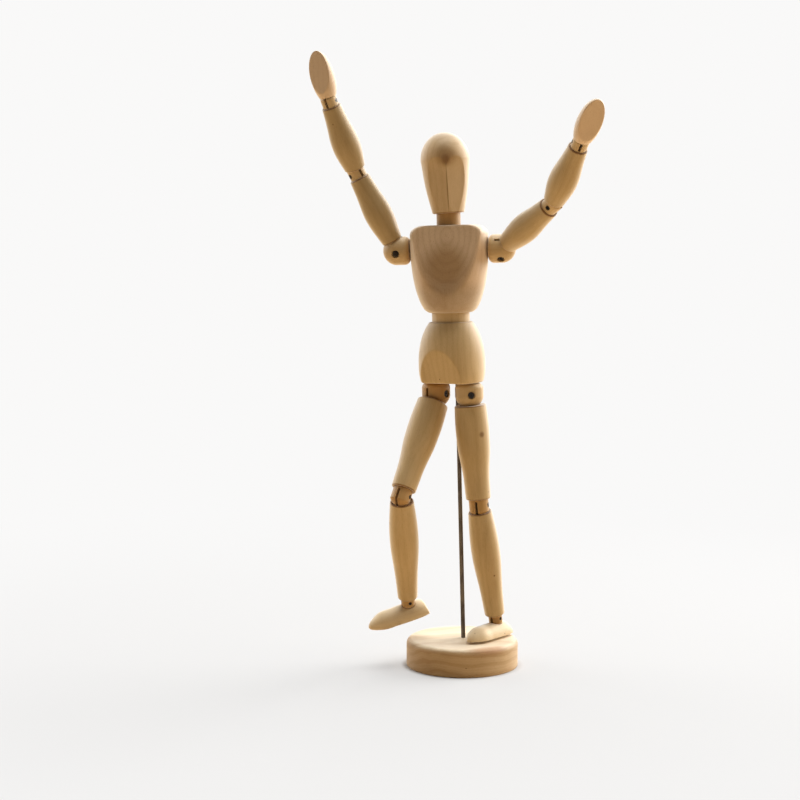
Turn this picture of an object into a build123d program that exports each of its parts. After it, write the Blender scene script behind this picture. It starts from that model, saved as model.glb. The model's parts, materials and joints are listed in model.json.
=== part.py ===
from collections import namedtuple
from math import atan, atan2, cos, degrees, radians, sqrt
import os

from build123d import *

# A jointed wooden figure on a rod stand. Millimetres, +Z up, origin at the centre of the base's underside.
# The figure faces -Y. Left and right are the figure's own, so its right side is at -X.

# Stand
base_diameter = 65.6
base_height = 16.0
base_top_round = 3.2
base_foot_round = 0.8
rod_diameter = 2.5
rod_foot_x = 0.7
rod_lean = 1.5
rod_depth_in_base = 12.0
rod_depth_in_pelvis = 20.0
rod_setback = 6.0

# Fits
seat_gap = 0.3
running_gap = 0.05
slot_gap = 0.15
end_gap = 0.4
sole_gap = 1.4

# Steel inside the joints
tang_thickness = 1.2
rivet_head = 0.7
rivet_dimple = 0.6
stem_root = 0.8
stem_depth = 7.0
eye_share = 0.78

# How far a quarter oval's handles reach, as a share of its radii
oval_pull = 0.5523

# One row for each kind of joint: barrel wall radius, dome radius, flat end's distance from the pivot (None where
# the bead is domed at both ends), distance from the pivot to the rim above and the rim below, tang eye radius and
# depth in the wood, rivet radius, rivet recess radius and depth, stem radius, round at the flat end's rim.
JointSize = namedtuple("JointSize", "wall dome flat near far eye shank rivet recess sunk stem root", defaults=[0.5])
shoulder_size = JointSize(8.2, 8.3, 7.4, 7.7, 6.4, 3.2, 7.0, 1.2, 2.3, 1.6, 1.5, 3.2)
elbow_size = JointSize(5.0, 6.0, None, 3.0, 3.0, 2.3, 6.0, 0.9, 1.5, 1.0, 1.1)
wrist_size = JointSize(4.6, 5.2, None, 2.6, 2.6, 1.9, 5.0, 0.8, 1.3, 0.8, 1.0)
hip_size = JointSize(8.2, 8.3, 6.4, 6.7, 6.3, 3.2, 8.0, 1.2, 2.3, 1.6, 1.5, 3.0)
knee_size = JointSize(5.7, 6.6, None, 3.7, 3.7, 2.4, 7.0, 0.9, 1.5, 1.0, 1.2)
ankle_size = JointSize(4.0, 4.7, None, 2.5, 2.5, 1.7, 3.2, 0.7, 1.1, 0.7, 0.9)
neck_size = JointSize(6.9, 7.4, 12.0, 9.0, -1.5, 2.2, 8.0, 0.8, 1.2, 0.8, 1.3)
waist_size = JointSize(10.9, 11.6, 13.0, 7.5, -2.0, 1.6, 8.0, 0.8, 1.4, 1.0, 1.8)

# Turned limbs: pivot to pivot, radius at the upper rim, at the bulge and at the lower rim, bulge place from 0 to 1
LimbSize = namedtuple("LimbSize", "length top bulge end bulge_at")
upper_arm_length = 50.5
forearm_length = 44.5
thigh_length = 65.0
shin_length = 71.4
upper_arm_size = LimbSize(upper_arm_length, 5.9, 8.0, 5.9, 0.36)
forearm_size = LimbSize(forearm_length, 5.9, 7.8, 5.4, 0.28)
thigh_size = LimbSize(thigh_length, 9.1, 9.6, 7.1, 0.18)
shin_size = LimbSize(shin_length, 6.8, 8.2, 5.8, 0.26)
limb_rim_round = 0.8

# Hands and feet
hand_length = 29.0
hand_root_radius = 4.7
hand_radius = 7.0
hand_widest_at = 14.0
hand_flare = 0.8
palm_at_root = 5.4
palm_at_tip = 0.1
foot_toe = 27.0
foot_heel = 15.0
foot_radius = 7.2
heel_cut_at = 10.5
heel_slant = 14.0
foot_axis_drop = 9.6
sole_drop = 9.9

# Torso and head
pelvis_height = 35.0
pelvis_top_radius = 12.5
pelvis_radius = 19.1
pelvis_widest_at = 14.0
pelvis_bottom_radius = 18.0
pelvis_flat_bottom = 12.4
pelvis_flat_slant = 17.5
hip_half_spacing = 11.0
chest_height = 49.3
chest_bottom_radius = 12.4
chest_low_radius = 19.2
chest_low_at = 13.0
chest_radius = 22.4
chest_full_at = 33.0
chest_top_round = 3.6
chest_flat_top = 10.2
chest_flat_slant = 14.0
shoulder_height = 34.0
shoulder_half_spacing = 30.2
head_height = 46.0
head_chin_radius = 9.8
head_cheek_radius = 12.4
head_cheek_at = 14.5
head_radius = 14.0
head_widest_at = 30.5
head_flare = 0.2
face_chin_depth = 8.3
face_slant = 8.8
face_spread = 24.0

# Rest pose in degrees: each joint's swivel about the upper piece's axis, then hinge about its rivet. The standing
# foot has no hinge angle, because it is laid level.
pelvis_yaw = -31.0
waist_pose = (21.0, 0.0)
neck_pose = (100.0, -2.5)
pose = {
    "right_shoulder": (-13.0, 66.0),
    "right_elbow": (-47.5, 13.5),
    "right_wrist": (-57.0, -12.0),
    "left_shoulder": (-127.5, 50.5),
    "left_elbow": (-37.5, 19.5),
    "left_wrist": (-56.0, 2.5),
    "right_hip": (9.5, -31.0),
    "right_knee": (-16.0, 49.5),
    "right_ankle": (42.5, 6.0),
    "left_hip": (52.2, 3.7),
    "left_knee": (-64.3, 10.7),
    "left_ankle": (20.5, None),
}
palm_side = {"right": -1, "left": 1}

os.makedirs("parts", exist_ok=True)


def lengthwise(frame):
    """Sketch plane through a frame's axis: x runs along the rivet and y along the axis."""
    return Plane(frame.origin, x_dir=frame.x_dir, z_dir=-frame.y_dir)


def crosswise(frame):
    """Sketch plane square to the rivet: x runs along the frame's y and y along its axis."""
    return Plane(frame.origin, x_dir=frame.y_dir, z_dir=frame.x_dir)


def axis_of(frame):
    return Axis(frame.origin, frame.z_dir)


def at(frame, x, y, z):
    """The same frame, moved along its own directions."""
    place = frame.origin + frame.x_dir * x + frame.y_dir * y + frame.z_dir * z
    return Plane(place, x_dir=frame.x_dir, z_dir=frame.z_dir)


def turned(frame, x=0, y=0, z=0):
    """The same frame, turned about one of its own directions."""
    return Plane(frame.location * Rotation(x, y, z))


def swing(frame, angles):
    """Frames of a joint's bead and of the piece beyond it, from the upper piece's frame at the pivot."""
    swivel, hinge = angles
    bead = turned(frame, z=swivel)
    return bead, turned(bead, x=hinge)


def keep(piece, name):
    piece.part.label = name
    export_step(piece.part, f"parts/{name}.step")


def dome_curve(radius, start, tip):
    """Quarter of an oval, from the side of a turned piece to its tip on the axis."""
    pull = start + oval_pull * (tip - start)
    Bezier((radius, start), (radius, pull), (oval_pull * radius, tip), (0, tip))


def stem_reach(size):
    """How far the stem's end lies above the pivot."""
    return (size.flat or size.dome) + stem_depth


def build_tang(name, size, frame):
    """Flat steel tongue with an eye on the rivet; its shank is fixed in the piece that hinges."""
    seat = size.dome + seat_gap
    width = 2 * size.eye * eye_share
    with BuildPart() as tang:
        with BuildSketch(crosswise(frame)):
            Circle(size.eye)
            with Locations((0, (seat + size.shank) / 2)):
                Rectangle(width, seat + size.shank)
            Circle(size.rivet + running_gap, mode=Mode.SUBTRACT)
        extrude(amount=tang_thickness / 2, both=True)
    keep(tang, f"{name}_tang")
    return tang.part


def build_bead(name, size, frame):
    """Turned bead: domed below, domed or flat above, slotted for the tang, drilled for rivet and stem."""
    trim = sqrt(size.dome**2 - size.wall**2)
    slot_floor = size.eye + seat_gap
    rivet_floor = size.wall - size.sunk
    with BuildPart() as bead:
        with BuildSketch(lengthwise(frame)):
            with BuildLine():
                if size.flat:
                    Polyline((0, size.dome), (0, -size.flat), (size.wall - size.root, -size.flat))
                    RadiusArc((size.wall - size.root, -size.flat), (size.wall, size.root - size.flat), -size.root)
                    Line((size.wall, size.root - size.flat), (size.wall, trim))
                else:
                    Line((0, size.dome), (0, -size.dome))
                    RadiusArc((0, -size.dome), (size.wall, -trim), -size.dome)
                    Line((size.wall, -trim), (size.wall, trim))
                RadiusArc((size.wall, trim), (0, size.dome), -size.dome)
            make_face()
        revolve(axis=axis_of(frame))
        with BuildSketch(crosswise(frame)):
            with Locations((0, (size.dome - slot_floor) / 2)):
                Rectangle(3 * size.dome, size.dome + slot_floor)
        extrude(amount=tang_thickness / 2 + slot_gap, both=True, mode=Mode.SUBTRACT)
        with BuildSketch(crosswise(frame)):
            Circle(size.rivet)
        extrude(amount=rivet_floor, both=True, mode=Mode.SUBTRACT)
        for end in (1, -1):
            with BuildSketch(crosswise(frame).offset(end * rivet_floor)):
                Circle(size.recess)
            extrude(amount=end * 2 * size.sunk, mode=Mode.SUBTRACT)
        with BuildSketch(frame.offset(-slot_floor - stem_root)):
            Circle(size.stem)
        extrude(amount=-2 * size.dome, mode=Mode.SUBTRACT)
    keep(bead, f"{name}_block" if name in ("neck", "waist") else f"{name}_bead")


def build_pins(name, size, frame):
    """The joint's two steel pins: the headed cross rivet and the round swivel stem."""
    rivet_floor = size.wall - size.sunk
    head_radius = (size.rivet + size.recess) / 2
    stem_top = size.eye + seat_gap + stem_root
    with BuildPart() as pins:
        with BuildSketch(crosswise(frame)):
            Circle(size.rivet)
        extrude(amount=rivet_floor, both=True)
        for end in (1, -1):
            with BuildSketch(crosswise(frame).offset(end * rivet_floor)):
                Circle(head_radius)
            extrude(amount=end * rivet_head)
            with BuildSketch(crosswise(frame).offset(end * (rivet_floor + rivet_head))):
                Circle(size.rivet / 2)
            extrude(amount=-end * rivet_dimple, mode=Mode.SUBTRACT)
        with BuildSketch(frame.offset(-stem_top)):
            Circle(size.stem)
        extrude(amount=stem_top - stem_reach(size))
    keep(pins, f"{name}_pins")


def cut_stem_bore(size, bead_frame):
    """Bore that the stem turns in, cut from the piece being built."""
    with BuildSketch(bead_frame) as bore:
        Circle(size.stem + running_gap)
    extrude(bore.sketch, amount=-stem_reach(size) - end_gap, mode=Mode.SUBTRACT)


def cut_seat(size, frame):
    """Hollow seat for a bead's dome, cut from the piece being built."""
    with Locations(frame):
        Sphere(size.dome + seat_gap, mode=Mode.SUBTRACT)


def build_joint(name, size, bead_frame, far_frame):
    """All of a joint's own pieces. Gives back the tang, which the piece beyond is cut to hold."""
    build_bead(name, size, bead_frame)
    build_pins(name, size, bead_frame)
    return build_tang(name, size, far_frame)


def build_limb(name, limb, near, far, frame, tang, far_bead):
    """Turned limb between two joints, with a seat at each end, the tang's pocket and the next stem's bore."""
    start = near.far
    end = limb.length - far.near
    bulge = start + (end - start) * limb.bulge_at
    with BuildPart() as piece:
        with BuildSketch(lengthwise(frame)):
            with BuildLine():
                Spline((limb.top, start), (limb.bulge, bulge), (limb.end, end))
                Polyline((limb.end, end), (0, end), (0, start), (limb.top, start))
            make_face()
        revolve(axis=axis_of(frame))
        fillet(piece.edges().filter_by(GeomType.CIRCLE), radius=limb_rim_round)
        cut_seat(near, frame)
        cut_seat(far, far_bead)
        cut_stem_bore(far, far_bead)
        add(tang, mode=Mode.SUBTRACT)
    keep(piece, name)


def build_hand(name, frame, tang, side):
    """Turned paddle planed to a flat palm that slants in towards the finger tips."""
    palm_slant = degrees(atan2(palm_at_root - palm_at_tip, hand_length))
    start = wrist_size.far
    with BuildPart() as hand:
        with BuildSketch(lengthwise(frame)):
            with BuildLine():
                Spline(
                    (hand_root_radius, start),
                    (hand_radius, hand_widest_at),
                    tangents=[(hand_flare, 1), (0, 1)],
                )
                dome_curve(hand_radius, hand_widest_at, hand_length)
                Polyline((0, hand_length), (0, start), (hand_root_radius, start))
            make_face()
        revolve(axis=axis_of(frame))
        cut_seat(wrist_size, frame)
        palm = Plane(at(frame, 0, side * palm_at_root, 0).origin, x_dir=frame.x_dir, z_dir=frame.y_dir * side)
        split(bisect_by=turned(palm, x=side * palm_slant), keep=Keep.BOTTOM)
        add(tang, mode=Mode.SUBTRACT)
    keep(hand, name)


def build_foot(name, frame, tang):
    """Turned loaf lying along the toe direction, planed flat for the sole and cut square at the heel."""
    last = at(frame, 0, 0, foot_axis_drop)
    along = Plane(last.origin, x_dir=-last.z_dir, z_dir=last.x_dir)
    with BuildPart() as foot:
        with BuildSketch(along):
            with BuildLine():
                dome_curve(foot_radius, 0, foot_toe)
                dome_curve(foot_radius, 0, -foot_heel)
                Line((0, foot_toe), (0, -foot_heel))
            make_face()
        revolve(axis=Axis(last.origin, last.y_dir))
        split(bisect_by=frame.offset(sole_drop), keep=Keep.BOTTOM)
        heel = Plane(at(last, 0, -heel_cut_at, 0).origin, x_dir=last.x_dir, z_dir=-last.y_dir)
        split(bisect_by=turned(heel, x=heel_slant), keep=Keep.BOTTOM)
        cut_seat(ankle_size, frame)
        add(tang, mode=Mode.SUBTRACT)
    keep(foot, name)


def leg_frames(pelvis, side):
    """Frames of a leg's beads and pieces, from hip to foot."""
    lateral = hip_half_spacing if side == "left" else -hip_half_spacing
    hip = Plane(at(pelvis, lateral, 0, -hip_size.near).origin, x_dir=pelvis.x_dir, z_dir=-pelvis.z_dir)
    hip_bead, thigh = swing(hip, pose[f"{side}_hip"])
    knee_bead, shin = swing(thigh.offset(thigh_size.length), pose[f"{side}_knee"])
    ankle = shin.offset(shin_size.length)
    swivel, hinge = pose[f"{side}_ankle"]
    if hinge is None:
        hinge = level_hinge(turned(ankle, z=swivel))
    ankle_bead, foot = swing(ankle, (swivel, hinge))
    return hip_bead, thigh, knee_bead, shin, ankle_bead, foot


def level_hinge(bead):
    """Hinge that lays the standing foot level from heel to toe."""
    return degrees(atan(-bead.y_dir.Z / bead.z_dir.Z))


def arm_frames(chest, side):
    """Frames of an arm's beads and pieces, from shoulder to hand."""
    outward = chest.x_dir if side == "left" else -chest.x_dir
    lateral = shoulder_half_spacing if side == "left" else -shoulder_half_spacing
    shoulder = Plane(at(chest, lateral, 0, shoulder_height).origin, x_dir=chest.y_dir, z_dir=outward)
    shoulder_bead, upper_arm = swing(shoulder, pose[f"{side}_shoulder"])
    elbow_bead, forearm = swing(upper_arm.offset(upper_arm_size.length), pose[f"{side}_elbow"])
    wrist_bead, hand = swing(forearm.offset(forearm_size.length), pose[f"{side}_wrist"])
    return shoulder_bead, upper_arm, elbow_bead, forearm, wrist_bead, hand


# Frames: the standing foot sets how high the figure stands on the rod
rod_frame = turned(Plane((rod_foot_x, 0, base_height)), y=-rod_lean)
low_pelvis = at(turned(rod_frame, z=pelvis_yaw), 0, -rod_setback, 0)
low_sole = leg_frames(low_pelvis, "left")[-1].offset(sole_drop).origin.Z
stand_height = (base_height + sole_gap - low_sole) / cos(radians(rod_lean))
pelvis_frame = low_pelvis.offset(stand_height)
waist_frame = pelvis_frame.offset(pelvis_height + waist_size.near)
waist_bead, chest_frame = swing(waist_frame, waist_pose)
neck_frame = chest_frame.offset(waist_size.far + chest_height + neck_size.near)
neck_bead, head_frame = swing(neck_frame, neck_pose)
legs = {side: leg_frames(pelvis_frame, side) for side in ("right", "left")}
arms = {side: arm_frames(chest_frame, side) for side in ("right", "left")}

# Base with the rod's leaning bore
with BuildPart() as base:
    Cylinder(base_diameter / 2, base_height, align=(Align.CENTER, Align.CENTER, Align.MIN))
    fillet(base.edges().sort_by(Axis.Z)[-1], radius=base_top_round)
    fillet(base.edges().sort_by(Axis.Z)[0], radius=base_foot_round)
    with BuildSketch(rod_frame.offset(base_height)):
        Circle(rod_diameter / 2)
    extrude(amount=-base_height - rod_depth_in_base, mode=Mode.SUBTRACT)
keep(base, "base_disc")

# Rod from the base's bore to the end of the pelvis's bore
with BuildPart() as rod:
    with BuildSketch(rod_frame.offset(-rod_depth_in_base)):
        Circle(rod_diameter / 2)
    extrude(amount=rod_depth_in_base + stand_height + rod_depth_in_pelvis)
keep(rod, "support_rod")

# Pelvis: a turned block, planed at the front and back so that the thighs can lift
with BuildPart() as pelvis:
    with BuildSketch(lengthwise(pelvis_frame)):
        with BuildLine():
            Spline(
                (pelvis_bottom_radius, 0),
                (pelvis_radius, pelvis_widest_at),
                (pelvis_top_radius, pelvis_height),
            )
            Polyline((pelvis_top_radius, pelvis_height), (0, pelvis_height), (0, 0), (pelvis_bottom_radius, 0))
        make_face()
    revolve(axis=axis_of(pelvis_frame))
    for face in (-1, 1):
        flat = Plane(
            at(pelvis_frame, 0, face * pelvis_flat_bottom, 0).origin,
            x_dir=pelvis_frame.x_dir,
            z_dir=pelvis_frame.y_dir * face,
        )
        split(bisect_by=turned(flat, x=-pelvis_flat_slant * face), keep=Keep.BOTTOM)
    with BuildSketch(waist_frame.offset(-waist_size.flat - seat_gap)):
        Circle(waist_size.wall + seat_gap)
    extrude(amount=waist_size.flat, mode=Mode.SUBTRACT)
    cut_stem_bore(waist_size, waist_bead)
    for side in legs:
        cut_stem_bore(hip_size, legs[side][0])
    with BuildSketch(at(pelvis_frame, 0, rod_setback, 0)):
        Circle(rod_diameter / 2 + running_gap)
    extrude(amount=rod_depth_in_pelvis, mode=Mode.SUBTRACT)
keep(pelvis, "pelvis")

# Waist, chest and neck
waist_tang = build_joint("waist", waist_size, waist_bead, chest_frame)
with BuildPart() as chest:
    bottom = waist_size.far
    top = bottom + chest_height
    with BuildSketch(lengthwise(chest_frame)):
        with BuildLine():
            Spline(
                (chest_bottom_radius, bottom),
                (chest_low_radius, bottom + chest_low_at),
                (chest_radius, bottom + chest_full_at),
                (chest_radius, top),
            )
            Polyline((chest_radius, top), (0, top), (0, bottom), (chest_bottom_radius, bottom))
        make_face()
    revolve(axis=axis_of(chest_frame))
    fillet(chest.faces().sort_by(axis_of(chest_frame))[-1].edges(), radius=chest_top_round)
    for face in (-1, 1):
        flat = Plane(
            at(chest_frame, 0, face * chest_flat_top, top).origin,
            x_dir=chest_frame.x_dir,
            z_dir=chest_frame.y_dir * face,
        )
        split(bisect_by=turned(flat, x=chest_flat_slant * face), keep=Keep.BOTTOM)
    cut_seat(waist_size, chest_frame)
    add(waist_tang, mode=Mode.SUBTRACT)
    with BuildSketch(neck_frame.offset(-neck_size.flat - seat_gap)):
        Circle(neck_size.wall + seat_gap)
    extrude(amount=neck_size.flat, mode=Mode.SUBTRACT)
    cut_stem_bore(neck_size, neck_bead)
    for side in arms:
        with BuildSketch(arms[side][0].offset(-shoulder_size.near)):
            Circle(shoulder_size.wall + seat_gap)
        extrude(amount=shoulder_size.dome, mode=Mode.SUBTRACT)
        cut_stem_bore(shoulder_size, arms[side][0])
keep(chest, "chest")

# Head: a turned egg with two planed face flats that meet at a ridge
neck_tang = build_joint("neck", neck_size, neck_bead, head_frame)
with BuildPart() as head:
    chin = neck_size.far
    with BuildSketch(lengthwise(head_frame)):
        with BuildLine():
            Spline(
                (head_chin_radius, chin),
                (head_cheek_radius, chin + head_cheek_at),
                (head_radius, chin + head_widest_at),
                tangents=[(head_flare, 1), (0, 1)],
            )
            dome_curve(head_radius, chin + head_widest_at, chin + head_height)
            Polyline((0, chin + head_height), (0, chin), (head_chin_radius, chin))
        make_face()
    revolve(axis=axis_of(head_frame))
    for side in (-1, 1):
        brow = turned(head_frame, z=90 + side * face_spread)
        cheek = Plane(
            at(brow, 0, face_chin_depth, chin).origin,
            x_dir=brow.x_dir,
            z_dir=brow.y_dir,
        )
        split(bisect_by=turned(cheek, x=-face_slant), keep=Keep.BOTTOM)
    cut_seat(neck_size, head_frame)
    add(neck_tang, mode=Mode.SUBTRACT)
keep(head, "head")

# Arms and legs
for side in ("right", "left"):
    shoulder_bead, upper_arm, elbow_bead, forearm, wrist_bead, hand = arms[side]
    tang = build_joint(f"{side}_shoulder", shoulder_size, shoulder_bead, upper_arm)
    build_limb(f"{side}_upper_arm", upper_arm_size, shoulder_size, elbow_size, upper_arm, tang, elbow_bead)
    tang = build_joint(f"{side}_elbow", elbow_size, elbow_bead, forearm)
    build_limb(f"{side}_forearm", forearm_size, elbow_size, wrist_size, forearm, tang, wrist_bead)
    tang = build_joint(f"{side}_wrist", wrist_size, wrist_bead, hand)
    build_hand(f"{side}_hand", hand, tang, palm_side[side])

    hip_bead, thigh, knee_bead, shin, ankle_bead, foot = legs[side]
    tang = build_joint(f"{side}_hip", hip_size, hip_bead, thigh)
    build_limb(f"{side}_thigh", thigh_size, hip_size, knee_size, thigh, tang, knee_bead)
    tang = build_joint(f"{side}_knee", knee_size, knee_bead, shin)
    build_limb(f"{side}_shin", shin_size, knee_size, ankle_size, shin, tang, ankle_bead)
    tang = build_joint(f"{side}_ankle", ankle_size, ankle_bead, foot)
    build_foot(f"{side}_foot", foot, tang)
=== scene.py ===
import itertools
import json
import math

import bpy
import numpy as np
from mathutils import Matrix


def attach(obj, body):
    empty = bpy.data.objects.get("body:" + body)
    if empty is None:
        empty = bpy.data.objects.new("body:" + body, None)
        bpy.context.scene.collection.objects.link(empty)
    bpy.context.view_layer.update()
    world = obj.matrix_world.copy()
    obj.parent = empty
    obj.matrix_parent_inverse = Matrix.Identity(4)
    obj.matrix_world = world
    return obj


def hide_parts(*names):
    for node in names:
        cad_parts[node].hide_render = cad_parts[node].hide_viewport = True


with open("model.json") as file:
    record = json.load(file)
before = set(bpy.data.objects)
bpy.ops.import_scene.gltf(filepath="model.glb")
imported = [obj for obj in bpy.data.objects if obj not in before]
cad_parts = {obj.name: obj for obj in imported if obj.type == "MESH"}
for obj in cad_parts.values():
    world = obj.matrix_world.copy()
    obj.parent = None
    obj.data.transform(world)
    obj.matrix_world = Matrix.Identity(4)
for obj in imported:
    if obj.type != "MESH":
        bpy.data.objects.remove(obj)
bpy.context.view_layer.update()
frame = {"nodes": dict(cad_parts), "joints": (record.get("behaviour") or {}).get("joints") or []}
scene = bpy.context.scene
nodes = frame["nodes"]
joints = {joint["name"]: joint for joint in frame["joints"]}
sides = ("right", "left")
mm = 0.001
farOff = 1.0  # metres, farther than any piece reaches
allOver = 1000  # millimetres, for a mark that doesn't end that way


# places and directions read from the frame

def unit(vector):
    # the vector over its length
    return vector / np.linalg.norm(vector)


def nodePoints(name):
    # all corners of a CAD node, one row each
    mesh = nodes[name].data
    flat = np.empty(3 * len(mesh.vertices))
    mesh.vertices.foreach_get("co", flat)
    return flat.reshape(-1, 3)


def pivotOf(joint):
    # where the hinge of a bead or drum turns
    return np.array(joints[joint + "_hinge"]["pos_m"])


def axesFrom(along, rivet):
    # columns x, y, z: z along the piece, x as near the rivet as it can be
    z = unit(along)
    y = unit(np.cross(z, rivet))
    return np.column_stack([np.cross(y, z), y, z])


def tangAxes(joint):
    # the tang's far end, the mean of its farthest corners, lies on the axis of the piece that holds it
    endBand = 0.01 * mm
    away = nodePoints(joint + "_tang") - pivotOf(joint)
    reach = np.linalg.norm(away, axis=1)
    along = away[reach > reach.max() - endBand].mean(axis=0)
    return axesFrom(along, np.array(joints[joint + "_hinge"]["axis"]))


def swivelAxes(joint):
    # z along the swivel's stem, x along the hinge's rivet
    return axesFrom(np.array(joints[joint + "_swivel"]["axis"]), np.array(joints[joint + "_hinge"]["axis"]))


def halfTurned(axes):
    # the same directions, turned half round z
    return axes @ np.diag([-1.0, -1.0, 1.0])


def localPoints(name, origin, axes):
    # a node's corners from the origin, measured along the axes
    return (nodePoints(name) - origin) @ axes


def inMetres(size):
    # each entry of a dictionary of millimetres times a millimetre
    return {key: value * mm for key, value in size.items()}


# shapes: each piece is a radius given over height and angle, closed by a cap at both ends
capShare = np.linspace(0, 1, 22)[:-1, None]  # rows of a cap, as shares of the radius it starts from
rimRows = 9
flatEdge = 0.02  # cosine under which a planed flat no longer reaches the side
seatLip = 0.985  # share of a seat's radius that is hollowed


def angles(count):
    # so many equal steps of one turn
    return np.linspace(0, 2 * math.pi, count, endpoint=False)


def allRound(profile, angle):
    # one value a row, the same at every angle
    return np.repeat(profile[:, None], len(angle), axis=1)


def quarter(rows):
    # angles of a quarter circle, without its last point
    return np.linspace(0, math.pi / 2, rows)[:-1]


def curveThrough(places, values, at):
    # cubic through the points, with the slope at each taken from its neighbours
    places, values = np.array(places, float), np.array(values, float)
    slopes = np.gradient(values, places)
    i = np.clip(np.searchsorted(places, at) - 1, 0, len(places) - 2)
    step = places[i + 1] - places[i]
    t = (at - places[i]) / step
    start = (2 * t**3 - 3 * t**2 + 1) * values[i] + (t**3 - 2 * t**2 + t) * step * slopes[i]
    end = (3 * t**2 - 2 * t**3) * values[i + 1] + (t**3 - t**2) * step * slopes[i + 1]
    return start + end


def softMin(a, b, width):
    # the lesser of two, with the corner between them rounded over width
    h = np.clip(0.5 + 0.5 * (b - a) / width, 0, 1)
    return b + (a - b) * h - width * h * (1 - h)


def edgeInset(height, low, high, lowRound, highRound):
    # how far a rounded rim stands back from the side, as a quarter circle at each end
    fromLow = np.clip(1 - (height - low) / lowRound, 0, 1)
    fromHigh = np.clip(1 - (high - height) / highRound, 0, 1)
    return lowRound * (1 - np.sqrt(1 - fromLow**2)) + highRound * (1 - np.sqrt(1 - fromHigh**2))


def rimmedHeights(low, high, lowRound, highRound, count):
    # even heights between the two rounded rims, crowded together by a cosine within them
    rim = 1 - np.cos(np.linspace(0, math.pi / 2, rimRows))
    inner = np.linspace(low + lowRound, high - highRound, count)
    return np.concatenate([low + lowRound * rim[:-1], inner, (high - highRound * rim[:-1])[::-1]])


def planeLimit(distance, slope, facing, height, angle):
    # radius at which a flat cuts the turned side: its distance out, plus slope times height, over the cosine
    toward = np.cos(angle - facing)
    return np.where(toward > flatEdge, (distance + slope * height) / np.maximum(toward, flatEdge), farOff)


def seatCap(edge, pivot, seat, sign):
    # end face at edge, hollowed by a ball round pivot: root of seat squared less radius squared
    # sign is the way from the pivot into the piece
    def cap(radius):
        ball = pivot + sign * np.sqrt(np.maximum(seat**2 - radius**2, 0))
        return np.where(radius < seatLip * seat, sign * np.maximum(sign * ball, sign * edge), edge)
    return cap


def drumCap(edge, drum, depth):
    # end face at edge with a round recess that a drum sits in
    def cap(radius):
        return np.where(radius < drum, edge - depth, edge)
    return cap


def flatCap(edge):
    # end face at edge
    def cap(radius):
        return np.full_like(radius, edge)
    return cap


def tipCap(edge, tip, rim):
    # from edge, where the radius is the rim's, straight on to tip at the middle
    def cap(radius):
        return edge + (tip - edge) * (1 - radius / np.maximum(rim, 1e-9))
    return cap


def closedShell(name, rows, origin, axes):
    # rows: rings of points in the piece's own directions; the first and last ring are single points
    count, around = rows.shape[:2]
    ring = rows[1:-1].reshape(-1, 3)
    points = np.concatenate([rows[:1, 0], ring, rows[-1:, 0]]) @ axes.T + origin
    index = 1 + np.arange((count - 2) * around).reshape(count - 2, around)
    after = np.roll(index, -1, axis=1)
    quads = np.stack([index[:-1], after[:-1], after[1:], index[1:]], axis=-1).reshape(-1, 4)
    last = len(points) - 1
    lowFan = np.stack([np.zeros(around, int), after[0], index[0]], axis=-1)
    highFan = np.stack([np.full(around, last), index[-1], after[-1]], axis=-1)
    mesh = bpy.data.meshes.new(name)
    mesh.from_pydata(points.tolist(), [], lowFan.tolist() + quads.tolist() + highFan.tolist())
    mesh.polygons.foreach_set("use_smooth", np.ones(len(mesh.polygons), bool))
    mesh.update()
    piece = bpy.data.objects.new(name, mesh)
    scene.collection.objects.link(piece)
    return piece


def turnedShell(name, height, radius, lowCap, highCap, angle, origin, axes):
    # radius times cosine and sine of the angle at each height; radius has one row for each height
    lowRadius, highRadius = capShare * radius[0], capShare[::-1] * radius[-1]
    allRadius = np.concatenate([lowRadius, radius, highRadius])
    allHeight = np.concatenate([lowCap(lowRadius), allRound(height, angle), highCap(highRadius)])
    rows = np.stack([allRadius * np.cos(angle), allRadius * np.sin(angle), allHeight], axis=-1)
    return closedShell(name, rows, origin, axes)


def standIn(piece, node, body):
    # the piece is shown for the CAD node, on its body
    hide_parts(node)
    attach(piece, body)


# finishes: groups shared by the woods and the steels

def newGroup(name, inputs, outputs):
    # an empty node group with the sockets listed as kind and label
    group = bpy.data.node_groups.new(name, "ShaderNodeTree")
    for kind, label in inputs:
        group.interface.new_socket(label, in_out="INPUT", socket_type="NodeSocket" + kind)
    for kind, label in outputs:
        group.interface.new_socket(label, in_out="OUTPUT", socket_type="NodeSocket" + kind)
    return group, group.nodes.new("NodeGroupInput").outputs, group.nodes.new("NodeGroupOutput").inputs


def feed(tree, socket, value):
    # a socket is linked, any other value is set
    if isinstance(value, bpy.types.NodeSocket):
        tree.links.new(value, socket)
    elif value is not None:
        socket.default_value = value


def mathNode(tree, operation, a, b=None, c=None, clamp=False):
    # one number from up to three
    node = tree.nodes.new("ShaderNodeMath")
    node.operation, node.use_clamp = operation, clamp
    for socket, value in zip(node.inputs, (a, b, c)):
        feed(tree, socket, value)
    return node.outputs[0]


def vectorMath(tree, operation, a, b=None):
    # a vector from two, or a number for a length or a dot product
    node = tree.nodes.new("ShaderNodeVectorMath")
    node.operation = operation
    feed(tree, node.inputs[0], a)
    feed(tree, node.inputs[1], b)
    return node.outputs["Value"] if operation in ("LENGTH", "DOT_PRODUCT") else node.outputs["Vector"]


def stretchedNoise(tree, point, stretch, detail, rough):
    # noise at point times stretch: a small number draws it out that way
    node = tree.nodes.new("ShaderNodeTexNoise")
    feed(tree, node.inputs["Vector"], vectorMath(tree, "MULTIPLY", point, stretch))
    for label, value in (("Scale", 1.0), ("Detail", detail), ("Roughness", rough)):
        node.inputs[label].default_value = value
    return node.outputs["Fac"]


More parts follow.
